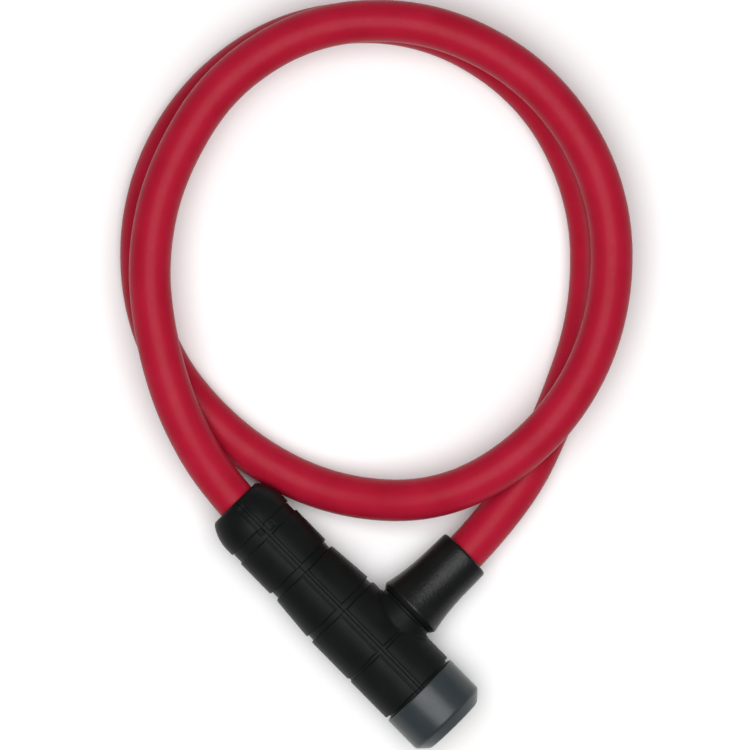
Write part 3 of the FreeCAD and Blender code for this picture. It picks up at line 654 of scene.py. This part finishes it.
def end_cap():
    """The cap: a skirt over the casing's front, a chamfer, and a face with an opening for the key."""
    front = (FRONT - REAR) / MM
    corners = [
        (CAP_START, CAP_SKIRT_BORE, 0.1),
        (CAP_START, CAP_RADIUS, 0.5),
        (front - CAP_CHAMFER, CAP_RADIUS, 0.7),
        (front, CAP_FACE_RADIUS, 0.55),
        (front, CAP_KEY_HOLE, 0.3),
        (front - CAP_FACE_THICK, CAP_KEY_HOLE, 0.1),
        (front - CAP_FACE_THICK, CAP_INSIDE, 0),
        (CAP_START + CAP_SKIRT, CAP_INSIDE, 0),
        (CAP_START + CAP_SKIRT, CAP_SKIRT_BORE, 0),
    ]
    outline = rounded(corners, steps=6)
    outline[:, 0] += REAR / MM
    return lathe("key_cap", outline, lock_matrix(0), about="x", segments=160)


# In millimetres: the sleeve's sizes along the bolt count from the body's axis.
SLEEVE_FACE = 13.35
SLEEVE_FACE_RADIUS = 8.9
FLARE_START = (14.85, 9.9)
FLARE_PULL = (20.4, 8.55)
FLARE_END = (27.6, 8.25)
SLEEVE_END = 36.8
SLEEVE_END_RADIUS = 8.1
SLEEVE_CABLE_BORE = 6.3
SLEEVE_FERRULE_BORE = 5.7
SLEEVE_BOLT_BORE = 7.1
SLEEVE_CABLE_STOP = 28.1
SLEEVE_BOLT_STOP = 16.4


def plug_sleeve():
    """The flared sleeve, with steps in its bore for the bolt's collar, the ferrule and the cable."""
    flare_start, pull, flare_end = (np.array(point) for point in (FLARE_START, FLARE_PULL, FLARE_END))
    flare = []
    for t in np.linspace(0.08, 0.94, 14):
        point = (1 - t) ** 2 * flare_start + 2 * t * (1 - t) * pull + t**2 * flare_end
        flare.append((point[0], point[1], 0))
    corners = [
        (SLEEVE_FACE, SLEEVE_BOLT_BORE, 0.15),
        (SLEEVE_FACE, SLEEVE_FACE_RADIUS, 0.3),
        (*FLARE_START, 0.45),
        *flare,
        (*FLARE_END, 0),
        (35.0, SLEEVE_END_RADIUS, 0),
        (SLEEVE_END, SLEEVE_END_RADIUS, 1.6),
        (SLEEVE_END, SLEEVE_CABLE_BORE, 0.35),
        (SLEEVE_CABLE_STOP, SLEEVE_CABLE_BORE, 0),
        (SLEEVE_CABLE_STOP, SLEEVE_FERRULE_BORE, 0),
        (SLEEVE_BOLT_STOP, SLEEVE_FERRULE_BORE, 0),
        (SLEEVE_BOLT_STOP, SLEEVE_BOLT_BORE, 0),
    ]
    return lathe("plug_grip", rounded(corners, steps=6), BOLT_LINE, about="y", segments=144)


cap = end_cap()
grip = plug_sleeve()

# ---------------------------------------------------------------- latch spring

# In millimetres, in the lock's own frame: the spring stands at SPRING_LINE along the body.
SPRING_LINE = 19.6
SPRING_FLOOR = -8.6
SPRING_TOP = -3.6
SPRING_RADIUS = 1.45
SPRING_WIRE = 0.25
SPRING_TURNS = 6.0
END_COIL = 0.12


def latch_spring():
    """A compression spring under the latch plate's tab, with its end coils closed up."""
    t = np.linspace(0, 1, 300)
    low = SPRING_FLOOR + SPRING_WIRE
    high = SPRING_TOP - SPRING_WIRE
    height = low + (high - low) * ramp(t, -END_COIL, 1 + END_COIL)
    height = low + (height - height[0]) * (high - low) / (height[-1] - height[0])
    angle = t * SPRING_TURNS * 2 * math.pi
    line = np.stack([
        SPRING_LINE + SPRING_RADIUS * np.cos(angle), SPRING_RADIUS * np.sin(angle), height
    ], axis=1) * MM
    spring = joined_tubes("latch_coil", [line], SPRING_WIRE * MM, 10)
    spring.data.transform(lock_matrix(0))
    return spring


spring = latch_spring()

# ---------------------------------------------------------------- materials

# A noise stays mostly between these values, so they are stretched over the whole spread of a detail.
NOISE_LOW = 0.3
NOISE_HIGH = 0.7


class Look:
    """A procedural material on one Principled shader, with helpers for noise-driven detail."""

    def __init__(self, name, base, rough, **fixed):
        self.material = bpy.data.materials.new(name)
        self.material.use_nodes = True
        self.tree = self.material.node_tree
        self.shader = self.tree.nodes["Principled BSDF"]
        self.shader.inputs["Base Color"].default_value = (*base, 1)
        self.shader.inputs["Roughness"].default_value = rough
        for field, value in fixed.items():
            self.shader.inputs[field.replace("_", " ")].default_value = value
        self.where = self.add("ShaderNodeTexCoord").outputs["Object"]
        self.height = None

    def add(self, kind, **settings):
        node = self.tree.nodes.new(kind)
        for field, value in settings.items():
            setattr(node, field, value)
        return node

    def noise(self, size_mm, detail, stretch=None):
        """A noise whose features are about size_mm across, or finer along an axis by its stretch."""
        node = self.add("ShaderNodeTexNoise")
        node.inputs["Scale"].default_value = 1000 / size_mm
        node.inputs["Detail"].default_value = detail
        where = self.where
        if stretch:
            squeeze = self.add("ShaderNodeMapping")
            squeeze.inputs["Scale"].default_value = stretch
            self.tree.links.new(where, squeeze.inputs["Vector"])
            where = squeeze.outputs["Vector"]
        self.tree.links.new(where, node.inputs["Vector"])
        return node.outputs["Fac"]

    def spread(self, source, low, high):
        """The noise mapped onto low to high."""
        node = self.add("ShaderNodeMapRange")
        node.inputs["From Min"].default_value = NOISE_LOW
        node.inputs["From Max"].default_value = NOISE_HIGH
        node.inputs["To Min"].default_value = low
        node.inputs["To Max"].default_value = high
        self.tree.links.new(source, node.inputs["Value"])
        return node.outputs["Result"]

    def tones(self, source, dark, light):
        """Colours the surface between two tones."""
        node = self.add("ShaderNodeMix", data_type="RGBA")
        for socket in node.inputs:
            if socket.type == "RGBA":
                socket.default_value = (*(dark if socket.name == "A" else light), 1)
        self.tree.links.new(self.spread(source, 0, 1), node.inputs["Factor"])
        result = next(item for item in node.outputs if item.type == "RGBA")
        self.tree.links.new(result, self.shader.inputs["Base Color"])

    def roughness(self, source, low, high):
        """Varies the roughness between two values."""
        self.tree.links.new(self.spread(source, low, high), self.shader.inputs["Roughness"])

    def bump(self, source, depth_mm):
        """Adds a bump of this depth on top of those before it."""
        node = self.add("ShaderNodeBump")
        node.inputs["Strength"].default_value = 1.0
        node.inputs["Distance"].default_value = depth_mm * MM
        self.tree.links.new(source, node.inputs["Height"])
        if self.height:
            self.tree.links.new(self.height, node.inputs["Normal"])
        self.height = node.outputs["Normal"]
        self.tree.links.new(self.height, self.shader.inputs["Normal"])


def moulded_black(name, dark, light, rough, grain_mm, grain_depth, gloss):
    """Black plastic with a moulded grain and a slow unevenness."""
    look = Look(name, dark, rough[0], Specular_IOR_Level=gloss)
    look.tones(look.noise(7.0, 4.0), dark, light)
    look.roughness(look.noise(1.4, 5.0), *rough)
    look.bump(look.noise(grain_mm, 2.0), grain_depth)
    look.bump(look.noise(4.5, 2.0), 0.012)
    return look


casing_look = moulded_black(
    "casing_soft_touch", dark=(0.0056, 0.0065, 0.0062), light=(0.0080, 0.0090, 0.0087),
    rough=(0.36, 0.44), grain_mm=0.30, grain_depth=0.008, gloss=0.06,
)
grip_look = moulded_black(
    "grip_satin", dark=(0.0042, 0.0047, 0.0045), light=(0.0064, 0.0070, 0.0068),
    rough=(0.30, 0.38), grain_mm=0.7, grain_depth=0.08, gloss=0.195,
)

sheath_look = Look("red_covering", (0.35, 0.0095, 0.028), 0.38, Specular_IOR_Level=0.085)
sheath_look.tones(sheath_look.noise(11.0, 5.0), (0.330, 0.0062, 0.0225), (0.378, 0.0092, 0.0300))
sheath_look.roughness(sheath_look.noise(2.2, 4.0), 0.32, 0.42)
sheath_look.bump(sheath_look.noise(0.6, 3.0), 0.004)
sheath_look.bump(sheath_look.noise(3.6, 2.0), 0.02)

cap_look = Look("cap_slate_paint", (0.026, 0.033, 0.037), 0.34, Specular_IOR_Level=0.3)
cap_look.tones(cap_look.noise(9.0, 4.0), (0.021, 0.028, 0.032), (0.028, 0.036, 0.040))
cap_look.roughness(cap_look.noise(0.9, 4.0), 0.29, 0.36)
cap_look.bump(cap_look.noise(0.35, 2.0), 0.004)

rope_look = Look("galvanised_wire", (0.55, 0.56, 0.58), 0.35, Metallic=1.0)
rope_look.tones(rope_look.noise(1.6, 5.0), (0.36, 0.37, 0.38), (0.62, 0.63, 0.65))
rope_look.roughness(rope_look.noise(0.8, 4.0), 0.28, 0.5)
rope_look.bump(rope_look.noise(0.5, 3.0, stretch=(1, 1, 0.3)), 0.03)

cast_look = Look("die_cast_zinc", (0.5, 0.5, 0.52), 0.5, Metallic=1.0)
cast_look.tones(cast_look.noise(5.0, 5.0), (0.38, 0.385, 0.40), (0.56, 0.565, 0.58))
cast_look.roughness(cast_look.noise(1.2, 5.0), 0.42, 0.62)
cast_look.bump(cast_look.noise(0.4, 3.0), 0.015)

steel_look = Look("nickel_steel", (0.6, 0.61, 0.63), 0.3, Metallic=1.0)
steel_look.tones(steel_look.noise(4.0, 4.0), (0.50, 0.51, 0.53), (0.66, 0.67, 0.69))
steel_look.roughness(steel_look.noise(0.7, 5.0, stretch=(1, 14, 14)), 0.2, 0.38)
steel_look.bump(steel_look.noise(0.25, 2.0, stretch=(1, 9, 9)), 0.002)

brass_look = Look("turned_brass", (0.70, 0.50, 0.20), 0.3, Metallic=1.0)
brass_look.tones(brass_look.noise(3.0, 5.0), (0.56, 0.38, 0.14), (0.76, 0.56, 0.25))
brass_look.roughness(brass_look.noise(0.8, 5.0), 0.22, 0.42)
brass_look.bump(brass_look.noise(0.22, 2.0, stretch=(9, 1, 1)), 0.003)

rubber_look = Look("seal_rubber", (0.016, 0.016, 0.016), 0.62, IOR=1.5)
rubber_look.tones(rubber_look.noise(1.5, 4.0), (0.012, 0.012, 0.012), (0.022, 0.022, 0.022))
rubber_look.roughness(rubber_look.noise(0.5, 4.0), 0.55, 0.72)
rubber_look.bump(rubber_look.noise(0.15, 2.0), 0.004)

LOOKS = {
    "casing": casing_look,
    "cap": cap_look,
    "sleeve": grip_look,
    "sheath": sheath_look,
    "rope": rope_look,
    "die_cast": cast_look,
    "hard_steel": steel_look,
    "brass": brass_look,
    "seal": rubber_look,
}
# Each detailed piece, the body it rides on, the CAD node it replaces and its material slot.
PIECES = [
    (shell_plain, "lock_body", "casing_plain_half", "casing"),
    (shell_bolt, "lock_body", "casing_bolt_half", "casing"),
    (cap, "lock_body", "end_cap", "cap"),
    (grip, "plug", "plug_sleeve", "sleeve"),
    (covering, None, "cable_sheath", "sheath"),
    (rope, None, "cable_core", "rope"),
    (spring, None, "latch_spring", "hard_steel"),
]
for piece, body, node, slot in PIECES:
    piece.data.materials.clear()
    piece.data.materials.append(LOOKS[slot].material)
    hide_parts(node)
    if body:
        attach(piece, body)
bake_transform(covering)
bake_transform(rope)
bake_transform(spring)

for subpart in frame["record"]["subparts"]:
    node = frame["nodes"][subpart["node"]]
    for place in node.material_slots:
        place.material = LOOKS[subpart["material_slot"]].material

# ---------------------------------------------------------------- floor and light

# In metres: the floor's half side, then the light's height, sideways shift and size.
FLOOR_HALF = 1.5
LIGHT_HEIGHT = 1.0
LIGHT_SHIFT = 0.05
LIGHT_SIZE = 0.9
LIGHT_POWER = 12.8
ROOM_STRENGTH = 0.2


def studio():
    """A pale floor, one large soft light above the lock, and a dim white room."""
    mesh = bpy.data.meshes.new("floor")
    corners = [(-1, -1), (1, -1), (1, 1), (-1, 1)]
    mesh.from_pydata([(x * FLOOR_HALF, y * FLOOR_HALF, 0) for x, y in corners], [], [(0, 1, 2, 3)])
    floor = bpy.data.objects.new("floor", mesh)
    bpy.context.scene.collection.objects.link(floor)
    look = Look("floor_paper", (0.9, 0.9, 0.9), 0.8)
    look.tones(look.noise(300.0, 2.0), (0.885, 0.885, 0.885), (0.9, 0.9, 0.9))
    mesh.materials.append(look.material)

    data = bpy.data.lights.new("overhead", "AREA")
    data.shape = "RECTANGLE"
    data.size = data.size_y = LIGHT_SIZE
    data.energy = LIGHT_POWER
    light = bpy.data.objects.new("overhead", data)
    middle = Vector((CAMERA_SPOT[0], CAMERA_SPOT[1], 0))
    light.location = middle + Vector((LIGHT_SHIFT, -LIGHT_SHIFT, LIGHT_HEIGHT))
    light.rotation_euler = (middle - light.location).to_track_quat("-Z", "Y").to_euler()
    bpy.context.scene.collection.objects.link(light)

    world = bpy.data.worlds.new("room")
    world.use_nodes = True
    world.node_tree.nodes["Background"].inputs["Color"].default_value = (1, 1, 1, 1)
    world.node_tree.nodes["Background"].inputs["Strength"].default_value = ROOM_STRENGTH
    bpy.context.scene.world = world


studio()
bpy.context.scene.view_settings.view_transform = "Standard"
